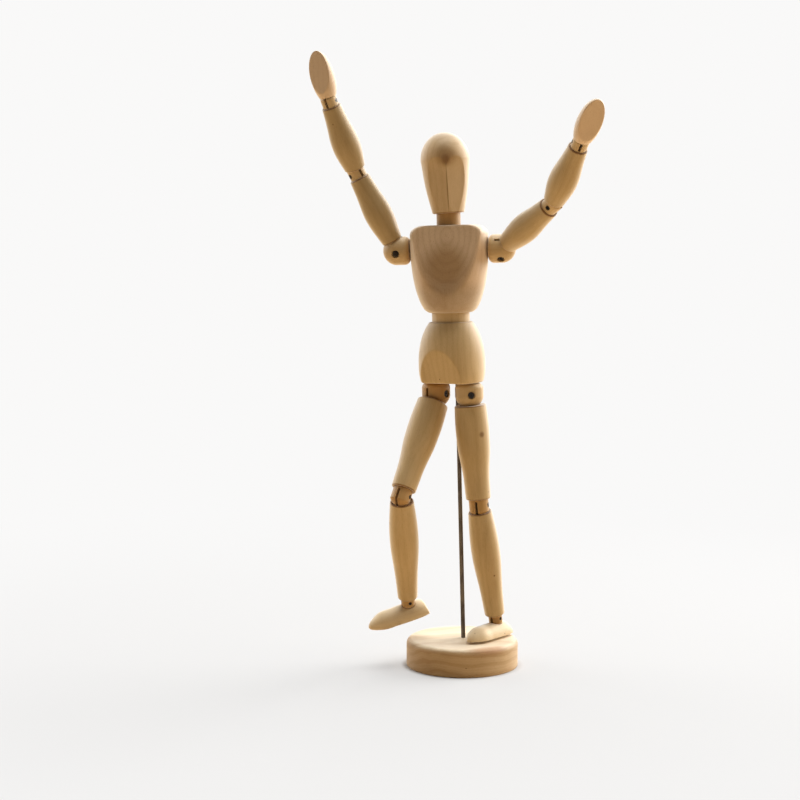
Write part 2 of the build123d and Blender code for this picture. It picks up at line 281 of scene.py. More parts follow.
def sineWave(tree, turns, rate):
    # half the sine of turns times rate, plus a half
    wave = mathNode(tree, "SINE", mathNode(tree, "MULTIPLY", turns, 2 * math.pi * rate))
    return mathNode(tree, "MULTIPLY_ADD", wave, 0.5, 0.5)


def mapRange(tree, value, low, high, toLow=0.0, toHigh=1.0):
    # smooth step from toLow at low to toHigh at high
    node = tree.nodes.new("ShaderNodeMapRange")
    node.interpolation_type = "SMOOTHSTEP"
    for socket, v in zip(node.inputs, (value, low, high, toLow, toHigh)):
        feed(tree, socket, v)
    return node.outputs[0]


def mixColour(tree, share, a, b, blend="MIX"):
    # from a to b, or to a times b, by share
    node = tree.nodes.new("ShaderNodeMix")
    node.data_type, node.blend_type = "RGBA", blend
    feed(tree, node.inputs[0], share)
    feed(tree, node.inputs[6], a)
    feed(tree, node.inputs[7], b)
    return node.outputs[2]


# each noise is stretched across, across and along the grain, per millimetre
woodNoise = {
    "wander": {"stretch": (0.06, 0.06, 0.016), "detail": 2.0, "rough": 0.5},
    "ripple": {"stretch": (0.35, 0.35, 0.07), "detail": 2.0, "rough": 0.5},
    "fibre": {"stretch": (2.6, 2.6, 0.07), "detail": 3.0, "rough": 0.65},
    "cloud": {"stretch": (0.09, 0.09, 0.03), "detail": 2.0, "rough": 0.5},
    "dash": {"stretch": (3.4, 3.4, 0.55), "detail": 1.0, "rough": 0.5},
}
# ranges that turn noise into a mask, then what each mask adds
woodGrain = {
    "fibreRange": (0.3, 0.75), "cloudRange": (0.35, 0.7), "dashRange": (0.64, 0.74), "endRange": (0.55, 0.95),
    "speckRange": (0.06, 0.03), "speckStretch": (0.16, 0.16, 0.11), "speckFrom": 0.72,
    "wanderBend": 9.0, "rippleBend": 0.8, "ringPower": 2.2, "broad": 0.75, "fineRate": 3.65, "fine": 0.25,
    "fibreDepth": 0.24, "cloudDepth": 0.22, "endDepth": 0.42, "rough": 0.40, "fibreRough": 0.16, "endRough": 0.14,
    "ringHeight": -0.35, "fleckTone": (0.55, 0.42, 0.32, 1), "speckTone": (0.28, 0.19, 0.12, 1)}


def makeWoodGroup():
    # rings are sines of the distance from a heart, bent by noise; rings, fibres, clouds and end grain add up to
    # the share of the deep colour, and flecks and specks darken it; Point is in millimetres
    group, given, out = newGroup(
        "turnedWood",
        [("Vector", "Point"), ("Vector", "Heart"), ("Float", "Lean"), ("Float", "Ring Spacing"),
         ("Float", "Ring Strength"), ("Float", "Fleck Strength"), ("Float", "End Facing"), ("Color", "Pale"),
         ("Color", "Deep")],
        [("Color", "Colour"), ("Float", "Roughness"), ("Float", "Height")])
    g, point = woodGrain, given["Point"]
    noise = {name: stretchedNoise(group, point, **values) for name, values in woodNoise.items()}
    split = group.nodes.new("ShaderNodeSeparateXYZ")
    feed(group, split.inputs[0], vectorMath(group, "SUBTRACT", point, given["Heart"]))
    leaned = mathNode(group, "MULTIPLY_ADD", split.outputs[2], given["Lean"], split.outputs[0])
    flat = group.nodes.new("ShaderNodeCombineXYZ")
    feed(group, flat.inputs[0], leaned)
    feed(group, flat.inputs[1], split.outputs[1])
    fromHeart = vectorMath(group, "LENGTH", flat.outputs[0])
    bent = mathNode(group, "MULTIPLY_ADD", noise["ripple"], g["rippleBend"], fromHeart)
    bent = mathNode(group, "MULTIPLY_ADD", noise["wander"], g["wanderBend"], bent)
    turns = mathNode(group, "DIVIDE", bent, given["Ring Spacing"])
    broad = mathNode(group, "POWER", sineWave(group, turns, 1.0), g["ringPower"])
    fine = sineWave(group, turns, g["fineRate"])
    ring = mathNode(group, "MULTIPLY_ADD", fine, g["fine"], mathNode(group, "MULTIPLY", broad, g["broad"]))
    fleck = mathNode(group, "MULTIPLY", mapRange(group, noise["dash"], *g["dashRange"]), given["Fleck Strength"])
    cells = group.nodes.new("ShaderNodeTexVoronoi")
    feed(group, cells.inputs["Vector"], vectorMath(group, "MULTIPLY", point, g["speckStretch"]))
    cells.inputs["Scale"].default_value = 1.0
    pick = group.nodes.new("ShaderNodeSeparateColor")
    feed(group, pick.inputs[0], cells.outputs["Color"])
    speck = mathNode(group, "MULTIPLY", mapRange(group, cells.outputs["Distance"], *g["speckRange"]),
                     mathNode(group, "GREATER_THAN", pick.outputs[0], g["speckFrom"]))
    endGrain = mapRange(group, given["End Facing"], *g["endRange"])
    fibre = mapRange(group, noise["fibre"], *g["fibreRange"])
    cloud = mapRange(group, noise["cloud"], *g["cloudRange"])
    depth = mathNode(group, "MULTIPLY", ring, given["Ring Strength"])
    depth = mathNode(group, "MULTIPLY_ADD", fibre, g["fibreDepth"], depth)
    depth = mathNode(group, "MULTIPLY_ADD", cloud, g["cloudDepth"], depth)
    depth = mathNode(group, "MULTIPLY_ADD", endGrain, g["endDepth"], depth, clamp=True)
    colour = mixColour(group, depth, given["Pale"], given["Deep"])
    colour = mixColour(group, fleck, colour, g["fleckTone"], "MULTIPLY")
    feed(group, out["Colour"], mixColour(group, speck, colour, g["speckTone"], "MULTIPLY"))
    rough = mathNode(group, "MULTIPLY_ADD", endGrain, g["endRough"], g["rough"])
    feed(group, out["Roughness"], mathNode(group, "MULTIPLY_ADD", noise["fibre"], g["fibreRough"], rough))
    raised = mathNode(group, "MULTIPLY_ADD", ring, g["ringHeight"], noise["fibre"])
    feed(group, out["Height"], mathNode(group, "SUBTRACT", raised, mathNode(group, "ADD", fleck, speck)))
    return group


steelNoise = {
    "line": {"stretch": (7.0, 7.0, 0.05), "detail": 2.0, "rough": 0.6},
    "patch": {"stretch": (0.5, 0.5, 0.12), "detail": 3.0, "rough": 0.6},
}
steelGrain = {"stainRange": (0.42, 0.7), "rough": 0.2, "lineRough": 0.14, "stainRough": 0.22}


def makeSteelGroup():
    # drawn lines along the wire give roughness and height, patches of noise mix clean to brown
    # Point is in millimetres
    group, given, out = newGroup(
        "drawnSteel",
        [("Vector", "Point"), ("Float", "Tarnish"), ("Color", "Clean"), ("Color", "Brown")],
        [("Color", "Colour"), ("Float", "Roughness"), ("Float", "Height")])
    g = steelGrain
    noise = {name: stretchedNoise(group, given["Point"], **values) for name, values in steelNoise.items()}
    stain = mathNode(group, "MULTIPLY", mapRange(group, noise["patch"], *g["stainRange"]), given["Tarnish"])
    feed(group, out["Colour"], mixColour(group, stain, given["Clean"], given["Brown"]))
    rough = mathNode(group, "MULTIPLY_ADD", noise["line"], g["lineRough"], g["rough"])
    feed(group, out["Roughness"], mathNode(group, "MULTIPLY_ADD", stain, g["stainRough"], rough))
    feed(group, out["Height"], noise["line"])
    return group


woodGroup = makeWoodGroup()
steelGroup = makeSteelGroup()


def newMaterial(name):
    # a material with its tree and its Principled shader
    material = bpy.data.materials.new(name)
    material.use_nodes = True
    tree = material.node_tree
    return material, tree, tree.nodes["Principled BSDF"]


def pieceCoordinates(tree, origin, axes):
    # object coordinates turned into the piece's own directions, in millimetres
    source = tree.nodes.new("ShaderNodeTexCoord")
    mapping = tree.nodes.new("ShaderNodeMapping")
    mapping.vector_type = "TEXTURE"
    mapping.inputs["Location"].default_value = origin
    mapping.inputs["Rotation"].default_value = Matrix(axes.tolist()).to_euler()
    mapping.inputs["Scale"].default_value = (mm, mm, mm)
    tree.links.new(source.outputs["Object"], mapping.inputs["Vector"])
    return source, mapping.outputs[0]


def groupNode(tree, group, **values):
    # a group with its inputs fed by label, an underscore for each space
    node = tree.nodes.new("ShaderNodeGroup")
    node.node_tree = group
    for label, value in values.items():
        feed(tree, node.inputs[label.replace("_", " ")], value)
    return node


def wearShader(tree, shader, finish, colour, surface):
    # colour, roughness and height of a finish go to the shader
    tree.links.new(colour, shader.inputs["Base Color"])
    tree.links.new(finish.outputs["Roughness"], shader.inputs["Roughness"])
    relief = tree.nodes.new("ShaderNodeBump")
    relief.inputs["Strength"].default_value = surface["bump"]
    relief.inputs["Distance"].default_value = surface["bumpDepth"] * mm
    tree.links.new(finish.outputs["Height"], relief.inputs["Height"])
    tree.links.new(relief.outputs["Normal"], shader.inputs["Normal"])


# the blend and start of the painted sheen, a paler colour at grazing edges, are set here with the bump and the
# specular
woodSurface = {"bump": 0.35, "bumpDepth": 0.06, "specular": 0.4, "sheenBlend": 0.5, "sheenFrom": 0.3,
               "markCore": 0.3, "sideShadeFrom": 0.95, "sideShadeFull": 0.5}
steelSurface = {"bump": 0.25, "bumpDepth": 0.02}


def woodMaterial(name, origin, axes, look):
    # the group's colour, times the tint of painted shade on upright sides, times each mark by its distance over
    # its reach, then the painted sheen
    material, tree, shader = newMaterial(name)
    source, point = pieceCoordinates(tree, origin, axes)
    normal = source.outputs["Normal"]
    facing = mathNode(tree, "ABSOLUTE", vectorMath(tree, "DOT_PRODUCT", normal, tuple(axes[:, 2])))
    finish = groupNode(
        tree, woodGroup, Point=vectorMath(tree, "ADD", point, look["shift"]), Heart=look["heart"],
        Lean=look["lean"], Ring_Spacing=look["spacing"], Ring_Strength=look["rings"],
        Fleck_Strength=look["flecks"], End_Facing=facing, Pale=look["pale"], Deep=look["deep"])
    colour = finish.outputs["Colour"]
    # painted shade: upright sides are darkened by the side tint, so the top stays lighter than the side
    if "sideShadeTint" in look:
        level = mathNode(tree, "ABSOLUTE", vectorMath(tree, "DOT_PRODUCT", normal, (0, 0, 1)))
        upright = mapRange(tree, level, woodSurface["sideShadeFull"], woodSurface["sideShadeFrom"], 1.0, 0.0)
        colour = mixColour(tree, upright, colour, look["sideShadeTint"], "MULTIPLY")
    for place, reach, tone in look["marks"]:
        away = vectorMath(tree, "DIVIDE", vectorMath(tree, "SUBTRACT", point, place), reach)
        near = mapRange(tree, vectorMath(tree, "LENGTH", away), 1.0, woodSurface["markCore"])
        colour = mixColour(tree, near, colour, tone, "MULTIPLY")
    # painted sheen: the colour turns paler where the surface turns away from the eye, standing in for bright
    # grazing light on the wood's edges
    turned = tree.nodes.new("ShaderNodeLayerWeight")
    turned.inputs["Blend"].default_value = woodSurface["sheenBlend"]
    paintedSheen = mapRange(tree, turned.outputs["Facing"], woodSurface["sheenFrom"], 1.0, 0.0, look["paintedSheen"])
    colour = mixColour(tree, paintedSheen, colour, look["sheenTone"])
    wearShader(tree, shader, finish, colour, woodSurface)
    shader.inputs["Specular IOR Level"].default_value = woodSurface["specular"]
    return material


def steelMaterial(name, origin, axes, look):
    # the steel group on a metal shader
    material, tree, shader = newMaterial(name)
    point = pieceCoordinates(tree, origin, axes)[1]
    finish = groupNode(tree, steelGroup, Point=point, Tarnish=look["tarnish"], Clean=look["clean"],
                       Brown=look["brown"])
    wearShader(tree, shader, finish, finish.outputs["Colour"], steelSurface)
    shader.inputs["Metallic"].default_value = 1.0
    return material


# what all woods share; a mark is a place, a reach and a tone, in the piece's own millimetres
limeWood = {
    "pale": (0.66, 0.48, 0.245, 1), "deep": (0.44, 0.285, 0.11, 1), "lean": 0.04, "spacing": 3.4, "rings": 0.22,
    # the last two set how strong the painted sheen is and its colour
    "flecks": 0.3, "marks": (), "paintedSheen": 0.8, "sheenTone": (0.97, 0.90, 0.79, 1)}
blank = {"step": 83.0, "turn": 2.4, "heartAway": 60}
blankNumbers = itertools.count(1)
rimShadeAndBurnTone = (0.5, 0.36, 0.24, 1)


def limeLook(**changes):
    # each piece is cut from its own place in the wood: one step farther along, with the heart turned on
    number = next(blankNumbers)
    shift = (0.0, 0.0, blank["step"] * number)
    turn = blank["turn"] * number
    heart = (blank["heartAway"] * math.cos(turn), blank["heartAway"] * math.sin(turn), 0)
    return {**limeWood, "shift": shift, "heart": heart, **changes}


def rimShadeAndBurn(end):
    # a dark line round the piece at one of its ends: painted contact shade where it meets the next piece, with a
    # burnt edge
    return (0, 0, end / mm), (allOver, allOver, 1.0), rimShadeAndBurnTone


def toned(colour, share):
    # red, green and blue times share
    return tuple(share * part for part in colour[:3]) + (1,)


def dress(piece, material):
    # the piece wears this material alone
    piece.data.materials.clear()
    piece.data.materials.append(material)


print("finishes ready")

# limbs: turned between two ball seats
limbs = {
    "upper_arm": {"near": "shoulder", "far": "elbow", "top": 5.9, "bulge": 8.0, "end": 5.9, "bulgeAt": 0.36,
                  "dip": 0.3, "start": 6.4, "stop": 3.0, "nearSeat": 8.6, "farSeat": 6.3},
    "forearm": {"near": "elbow", "far": "wrist", "top": 5.9, "bulge": 7.8, "end": 5.4, "bulgeAt": 0.28,
                "dip": 0.25, "start": 3.0, "stop": 2.6, "nearSeat": 6.3, "farSeat": 5.5},
    "thigh": {"near": "hip", "far": "knee", "top": 9.1, "bulge": 9.6, "end": 7.1, "bulgeAt": 0.18,
              "dip": 0.55, "start": 6.3, "stop": 3.7, "nearSeat": 8.6, "farSeat": 6.9},
    "shin": {"near": "knee", "far": "ankle", "top": 6.8, "bulge": 8.2, "end": 5.8, "bulgeAt": 0.26,
             "dip": 0.3, "start": 3.7, "stop": 2.5, "nearSeat": 6.9, "farSeat": 5.0},
}
limbShape = {"rim": 0.7, "dipFrom": 0.44, "dipSpan": 0.55, "rows": 70, "around": 112}
limbTones = {"right_upper_arm": 0.76, "right_forearm": 0.76, "left_upper_arm": 0.82, "left_forearm": 0.86,
             "left_thigh": 0.92, "left_shin": 0.9}
limbKnots = {
    "left_thigh": (((8.5, -3.8, 23.0), (2.3, 2.3, 2.3), (0.5, 0.4, 0.3, 1)),),
    "left_upper_arm": (((5.0, -5.7, 42.5), (1.4, 1.4, 1.4), (0.5, 0.4, 0.3, 1)),),
    "left_shin": (((5.0, 5.7, 42.1), (0.8, 0.8, 0.8), (0.4, 0.3, 0.22, 1)),),
}


def makeLimb(side, limb):
    # a curve through top, bulge and end, less a squared sine for the dip, less the rounded rims
    size, rim = limbs[limb], limbShape["rim"] * mm
    near, far = side + "_" + size["near"], side + "_" + size["far"]
    origin, axes = pivotOf(near), tangAxes(near)
    length = np.linalg.norm(pivotOf(far) - origin)
    low, high = size["start"] * mm, length - size["stop"] * mm
    height = rimmedHeights(low, high, rim, rim, limbShape["rows"])
    places = [low, low + (high - low) * size["bulgeAt"], high]
    profile = curveThrough(places, [size["top"] * mm, size["bulge"] * mm, size["end"] * mm], height)
    share = (height - low) / (high - low)
    dip = np.clip((share - limbShape["dipFrom"]) / limbShape["dipSpan"], 0, 1)
    profile = profile - size["dip"] * mm * np.sin(math.pi * dip) ** 2 - edgeInset(height, low, high, rim, rim)
    around = angles(limbShape["around"])
    name = side + "_" + limb
    piece = turnedShell(
        name + "_wood", height, allRound(profile, around), seatCap(low, 0.0, size["nearSeat"] * mm, 1),
        seatCap(high, length, size["farSeat"] * mm, -1), around, origin, axes)
    standIn(piece, name, name)
    tone = limbTones.get(name, 1.0)
    look = limeLook(pale=toned(limeWood["pale"], tone), deep=toned(limeWood["deep"], tone),
                    marks=(rimShadeAndBurn(low), rimShadeAndBurn(high)) + limbKnots.get(name, ()))
    dress(piece, woodMaterial(name + "_wood", origin, axes, look))


for side in sides:
    for limb in limbs:
        makeLimb(side, limb)
print("limbs made")

# hands: turned paddles with a planed palm
hand = {
    "size": {"length": 29.0, "root": 4.7, "wide": 6.8, "wideAt": 14.0, "start": 2.6, "seat": 5.5, "palmRoot": 7.1,
             "palmTip": 0.1, "edge": 0.3, "rim": 0.4},
    "swell": 2.2, "rows": 60, "bowRows": 60, "around": 180,
    "look": {"pale": (0.82, 0.62, 0.42, 1), "deep": (0.68, 0.48, 0.30, 1)}}


def makeHand(side):
    # the stem swells by a power to the widest place, a quarter oval closes it, and the palm's plane cuts both
    name, wrist = side + "_hand", side + "_wrist"
    origin, axes = pivotOf(wrist), tangAxes(wrist)
    across = localPoints(name, origin, axes)[:, 1]
    if across.max() + across.min() > 0:  # the palm faces y
        axes = halfTurned(axes)
    s = inMetres(hand["size"])
    stem = rimmedHeights(s["start"], s["wideAt"], s["rim"], s["rim"], hand["rows"])
    stem = stem[stem < s["wideAt"] - s["rim"]]
    taper = (stem - s["start"]) / (s["wideAt"] - s["start"])
    swell = 1 - (1 - taper) ** hand["swell"]
    stemRadius = s["root"] + (s["wide"] - s["root"]) * swell
    stemRadius = stemRadius - edgeInset(stem, s["start"], farOff, s["rim"], s["rim"])
    bow = quarter(hand["bowRows"])
    height = np.concatenate([stem, s["wideAt"] + (s["length"] - s["wideAt"]) * np.sin(bow)])
    radius = np.concatenate([stemRadius, s["wide"] * np.cos(bow)])[:, None]
    around = angles(hand["around"])
    slope = (s["palmTip"] - s["palmRoot"]) / s["length"]
    palm = planeLimit(s["palmRoot"], slope, math.pi / 2, height[:, None], around)
    radius = softMin(radius, palm, s["edge"])
    piece = turnedShell(
        name + "_wood", height, radius, seatCap(s["start"], 0.0, s["seat"], 1),
        tipCap(height[-1], s["length"], radius[-1]), around, origin, axes)
    standIn(piece, name, name)
    dress(piece, woodMaterial(name + "_wood", origin, axes, limeLook(**hand["look"])))


for side in sides:
    makeHand(side)
print("hands made")

# feet: half loaves along the toe direction, planed for the sole, cut at the heel, hollowed for the ankle bead
foot = {
    "size": {"toe": 26.4, "heel": 15.0, "radius": 7.2, "drop": 9.6, "sole": 9.9, "cut": 10.5, "seat": 5.0,
             "edge": 0.5, "seatEdge": 0.2, "rim": 0.9},
    "blunt": 2.8, "ball": 0.14, "ballFrom": 0.38, "heelSlant": math.tan(math.radians(14)),
    "rows": 44, "bowRows": 80, "around": 200,
    "look": {"pale": (0.85, 0.68, 0.43, 1), "deep": (0.70, 0.51, 0.28, 1)}}


def makeFoot(side):
    # a blunt oval along the foot, fuller at the ball by a squared sine, then cut by the sole's plane and the
    # ankle's ball; the heel's cut slants more the farther back it is
    name, ankle = side + "_foot", side + "_ankle"
    origin, axes = pivotOf(ankle), tangAxes(ankle)
    along = localPoints(name, origin, axes)[:, 1]
    if along.max() + along.min() < 0:  # the toe points along y
        axes = halfTurned(axes)
    s = inMetres(foot["size"])
    back = rimmedHeights(-s["cut"], s["rim"], s["rim"], s["rim"], foot["rows"])
    place = np.concatenate([back[back < 0], s["toe"] * np.sin(quarter(foot["bowRows"]))])
    oval = np.where(place < 0, place / s["heel"], place / s["toe"])
    toward = np.clip((oval - foot["ballFrom"]) / (1 - foot["ballFrom"]), 0, 1)
    ball = 1 + foot["ball"] * np.sin(math.pi * toward) ** 2
    radius = s["radius"] * ball * np.sqrt(1 - np.abs(oval) ** foot["blunt"])
    radius = (radius - edgeInset(place, -s["cut"], farOff, s["rim"], s["rim"]))[:, None]
    around = angles(foot["around"])
    sole = planeLimit(s["sole"] - s["drop"], 0.0, 0.0, place[:, None], around)
    rise = -np.cos(around) * s["drop"]
    inside = rise**2 - (place[:, None] ** 2 + s["drop"] ** 2 - s["seat"] ** 2)
    hollow = np.where((inside > 0) & (rise > 0), rise - np.sqrt(np.maximum(inside, 0)), farOff)
    radius = softMin(softMin(radius, sole, s["edge"]), hollow, s["seatEdge"])
    allRadius = np.concatenate([capShare * radius[0], radius, capShare[::-1] * radius[-1]])
    ends = np.ones(len(capShare))
    allPlace = np.concatenate([ends * place[0], place, ends * place[-1]])[:, None]
    down = allRadius * np.cos(around)
    slant = foot["heelSlant"] * np.clip(-allPlace / s["cut"], 0, 1) ** 2
    rows = np.stack([allRadius * np.sin(around), allPlace - slant * down, s["drop"] + down], axis=-1)
    piece = closedShell(name + "_wood", rows, origin, axes)
    standIn(piece, name, name)
    grain = axes[:, [0, 2, 1]] @ np.diag([-1.0, 1.0, 1.0])
    dress(piece, woodMaterial(name + "_wood", origin, grain, limeLook(**foot["look"])))


for side in sides:
    makeFoot(side)
print("feet made")

# pelvis: turned block with a slanted flat at the front and back, and a recess for the waist drum
pelvis = {
    "size": {"height": 35.0, "flat": 12.4, "edge": 0.5, "rim": 1.2, "brim": 0.6, "drum": 11.2, "recess": 5.8,
             "hipDrop": 6.7},
    "heights": (0, 4.5, 11, 18, 23.5, 28, 32, 35),
    "radii": (18.0, 18.95, 19.25, 18.85, 17.85, 16.45, 14.55, 12.5),
    "slant": math.tan(math.radians(17.5)), "rows": 110, "around": 300,
    "look": {"heart": (18, -52, 0), "lean": 0.12}}


def makePelvis():
    # a curve through the listed radii, cut by two planes that lean out upward, less the rounded rims
    s = inMetres(pelvis["size"])
    hips = (pivotOf("right_hip") + pivotOf("left_hip")) / 2
    axes = axesFrom(pivotOf("waist") - hips, pivotOf("left_hip") - pivotOf("right_hip"))
    origin = hips + s["hipDrop"] * axes[:, 2]
    height = rimmedHeights(0.0, s["height"], s["rim"], s["brim"], pelvis["rows"])
    profile = curveThrough(np.array(pelvis["heights"]) * mm, np.array(pelvis["radii"]) * mm, height)
    around = angles(pelvis["around"])
    radius = allRound(profile, around)
    for facing in (math.pi / 2, -math.pi / 2):
        flat = planeLimit(s["flat"], pelvis["slant"], facing, height[:, None], around)
        radius = softMin(radius, flat, s["edge"])
    radius = radius - edgeInset(height, 0.0, s["height"], s["rim"], s["brim"])[:, None]
    piece = turnedShell("pelvis_wood", height, radius, flatCap(0.0),
                        drumCap(s["height"], s["drum"], s["recess"]), around, origin, axes)
    standIn(piece, "pelvis", "pelvis")
    dress(piece, woodMaterial("pelvis_wood", origin, axes, limeLook(**pelvis["look"])))


makePelvis()

# chest: a turned bowl with a domed top, planed at the front and back, with a seat for the waist and a recess
# for the neck
chest = {
    "size": {"low": -2.0, "tall": 50.1, "topRound": 5.2, "topWide": 8.0, "lowRound": 0.5, "flat": 10.2,
             "edge": 2.0, "brim": 0.9, "seat": 11.9, "drum": 7.2, "recess": 4.1},
    "heights": (0, 1.3, 3.5, 6.1, 10, 13.8, 23.4, 33, 50.1),
    "radii": (12.6, 14.5, 16.1, 17.4, 18.8, 19.9, 21.6, 22.4, 22.5),
    "slant": math.tan(math.radians(14)), "rows": 130, "around": 320,
    "look": {"pale": (0.76, 0.57, 0.38, 1), "deep": (0.50, 0.32, 0.17, 1), "heart": (-5.1, 0, 0), "lean": -0.4,
             "spacing": 3.6, "rings": 0.3, "flecks": 0.5, "shift": (0, 0, 0), "marks": (
                 ((0, 0, 24), (allOver, 19, 19), (0.56, 0.46, 0.31, 1)),
                 ((0, 0, 2), (allOver, allOver, 17), (0.74, 0.76, 0.80, 1)))}}


def makeChest():
    # a curve through the listed radii, less a quarter oval for the dome that is wider than it is tall, cut by
    # two planes that lean in upward, less the rounded rims
    origin, axes = pivotOf("waist"), tangAxes("waist")
    s = inMetres(chest["size"])
    top = s["low"] + s["tall"]
    height = rimmedHeights(s["low"], top, s["lowRound"], s["topRound"], chest["rows"])
    profile = curveThrough(np.array(chest["heights"]) * mm + s["low"], np.array(chest["radii"]) * mm, height)
    fromTop = np.clip(1 - (top - height) / s["topRound"], 0, 1)
    profile = profile - s["topWide"] * (1 - np.sqrt(1 - fromTop**2))
    around = angles(chest["around"])
    radius = allRound(profile, around)
    for facing in (math.pi / 2, -math.pi / 2):
        flat = planeLimit(s["flat"] + chest["slant"] * top, -chest["slant"], facing, height[:, None], around)
        radius = softMin(radius, flat, s["edge"])
    radius = radius - edgeInset(height, s["low"], top, s["lowRound"], s["brim"])[:, None]
    piece = turnedShell("chest_wood", height, radius, seatCap(s["low"], 0.0, s["seat"], 1),
                        drumCap(top, s["drum"], s["recess"]), around, origin, axes)
    standIn(piece, "chest", "chest")
    # the grain's first direction points out of the planed front, which the pith comes near at the top
    ahead = -np.sign(axes[1, 1]) * axes[:, 1]
    grain = np.column_stack([ahead, np.cross(axes[:, 2], ahead), axes[:, 2]])
    dress(piece, woodMaterial("chest_wood", origin, grain, limeLook(**chest["look"])))


makeChest()
print("torso made")

# head: a turned egg with two planed face flats that meet at a ridge; its marks are painted shade in the brow
# between the flats' arches and a painted dark line down the ridge, given with the face toward x
head = {
    "size": {"chin": -1.5, "tall": 46.0, "chinRadius": 9.1, "cheek": 12.1, "cheekAt": 14.5, "wide": 14.0,
             "wideAt": 30.5, "face": 8.9, "browAt": 20.1, "browEnd": 32.0, "edge": 0.12, "ridge": 0.1, "rim": 0.8,
             "seat": 7.7, "jaw": 15.0, "seam": 0.2},
    "slant": 0.118, "spread": math.radians(24), "rows": 120, "bowRows": 90, "around": 320,
    "look": {"pale": (0.68, 0.50, 0.29, 1), "deep": (0.47, 0.31, 0.15, 1), "heart": (30, -40, 0), "lean": 0.1},
    # painted shade: two dark patches in the brow's hollow and a thin dark line down the ridge
    "marks": (((13, 0, 30.5), (10, 8.5, 8), (0.66, 0.57, 0.45, 1)),
              ((13, 0, 28.6), (8, 3.4, 4.6), (0.66, 0.56, 0.44, 1)),
              ((11, 0, 12), (6, 0.5, 20), (0.5, 0.4, 0.28, 1)))}


def makeHead():
    # a curve through chin, cheek and widest place, a quarter oval above it, cut by the two face flats
    origin, axes = pivotOf("neck"), tangAxes("neck")
    s = inMetres(head["size"])
    jaw = localPoints("head", origin, axes)
    jaw = jaw[jaw[:, 2] < s["jaw"], 0]
    front = 0.0 if jaw.max() + jaw.min() < 0 else math.pi  # the planed side reaches less far
    low, widest, top = s["chin"], s["chin"] + s["wideAt"], s["chin"] + s["tall"]
    jawHeight = rimmedHeights(low, widest, s["rim"], s["rim"], head["rows"])
    jawHeight = jawHeight[jawHeight < widest - s["seam"]]
    places = [low, low + s["cheekAt"], widest]
    jawRadius = curveThrough(places, [s["chinRadius"], s["cheek"], s["wide"]], jawHeight)
    bow = quarter(head["bowRows"])
    height = np.concatenate([jawHeight, widest + (top - widest) * np.sin(bow)])
    profile = np.concatenate([jawRadius, s["wide"] * np.cos(bow)])[:, None]
    around = angles(head["around"])
    # each flat leans out upward, then bends out to meet the brow in an arch
    rise = height - low
    bend = np.maximum(rise - s["browAt"], 0) / (s["browEnd"] - s["browAt"])
    depth = s["face"] + head["slant"] * rise
    depth = depth + bend**2 * (s["wide"] - s["face"] - head["slant"] * s["browEnd"])
    flats = [planeLimit(depth[:, None], 0.0, front + turn, height[:, None], around)
             for turn in (-head["spread"], head["spread"])]
    radius = softMin(profile, softMin(flats[0], flats[1], s["ridge"]), s["edge"])
    radius = radius - edgeInset(height, low, farOff, s["rim"], s["rim"])[:, None]
    piece = turnedShell(
        "head_wood", height, radius, seatCap(low, 0.0, s["seat"], 1), tipCap(height[-1], top, radius[-1]),
        around, origin, axes)
    standIn(piece, "head", "head")
    ahead = math.cos(front)
    marks = tuple(((ahead * x, y, z), reach, tone) for (x, y, z), reach, tone in head["marks"])
    look = limeLook(**head["look"], marks=marks + (rimShadeAndBurn(low),))
    dress(piece, woodMaterial("head_wood", origin, axes, look))


makeHead()
print("head made")

# beads and drums keep their slots and rivet holes, and get wood along their own axis; those listed as pale get the
# plain wood, the rest a darker copy of it as painted shade
# painted shade: a darker, more orange copy of the bead wood for the beads that sit in shade
shadedBead = {"pale": (0.52, 0.31, 0.11, 1), "deep": (0.34, 0.17, 0.05, 1), "rings": 0.2, "paintedSheen": 0.35}
paleBead = {"pale": (0.64, 0.46, 0.24, 1), "deep": (0.44, 0.28, 0.11, 1), "rings": 0.2, "paintedSheen": 0.6}
drums = ["waist", "neck"]
beadParts = ("shoulder", "elbow", "wrist", "hip", "knee", "ankle")
beads = [side + "_" + part for side in sides for part in beadParts]
for joint in drums + beads:
    node = joint + ("_block" if joint in drums else "_bead")
    pale = joint in ("left_hip", "waist") or joint.endswith(("_shoulder", "_elbow", "_wrist"))
    look = limeLook(**(paleBead if pale else shadedBead))
    dress(nodes[node], woodMaterial(node, pivotOf(joint), swivelAxes(joint), look))
print("beads dressed")

# stand: the disc's grain lies flat, across the table
base = {
    "grainTurn": math.radians(25),
    # the side tint is painted shade, darker on the disc's upright side than on its lit top
    "look": {"pale": (0.95, 0.82, 0.61, 1), "deep": (0.68, 0.50, 0.30, 1), "sideShadeTint": (0.67, 0.57, 0.44, 1),
             "heart": (45, 30, 0), "lean": 0.06, "spacing": 5.0, "rings": 0.6, "paintedSheen": 0.3,
             # painted shadow: the left foot's shade on the front edge of the disc
             "marks": (((15, 30.4, 1.3), (5, 5, 17), (0.74, 0.56, 0.44, 1)),)}}
baseAlong = np.array([math.cos(base["grainTurn"]), math.sin(base["grainTurn"]), 0])
baseAxes = axesFrom(baseAlong, np.array([0, 0, 1.0]))
dress(nodes["base_disc"], woodMaterial("base_disc", np.zeros(3), baseAxes, limeLook(**base["look"])))

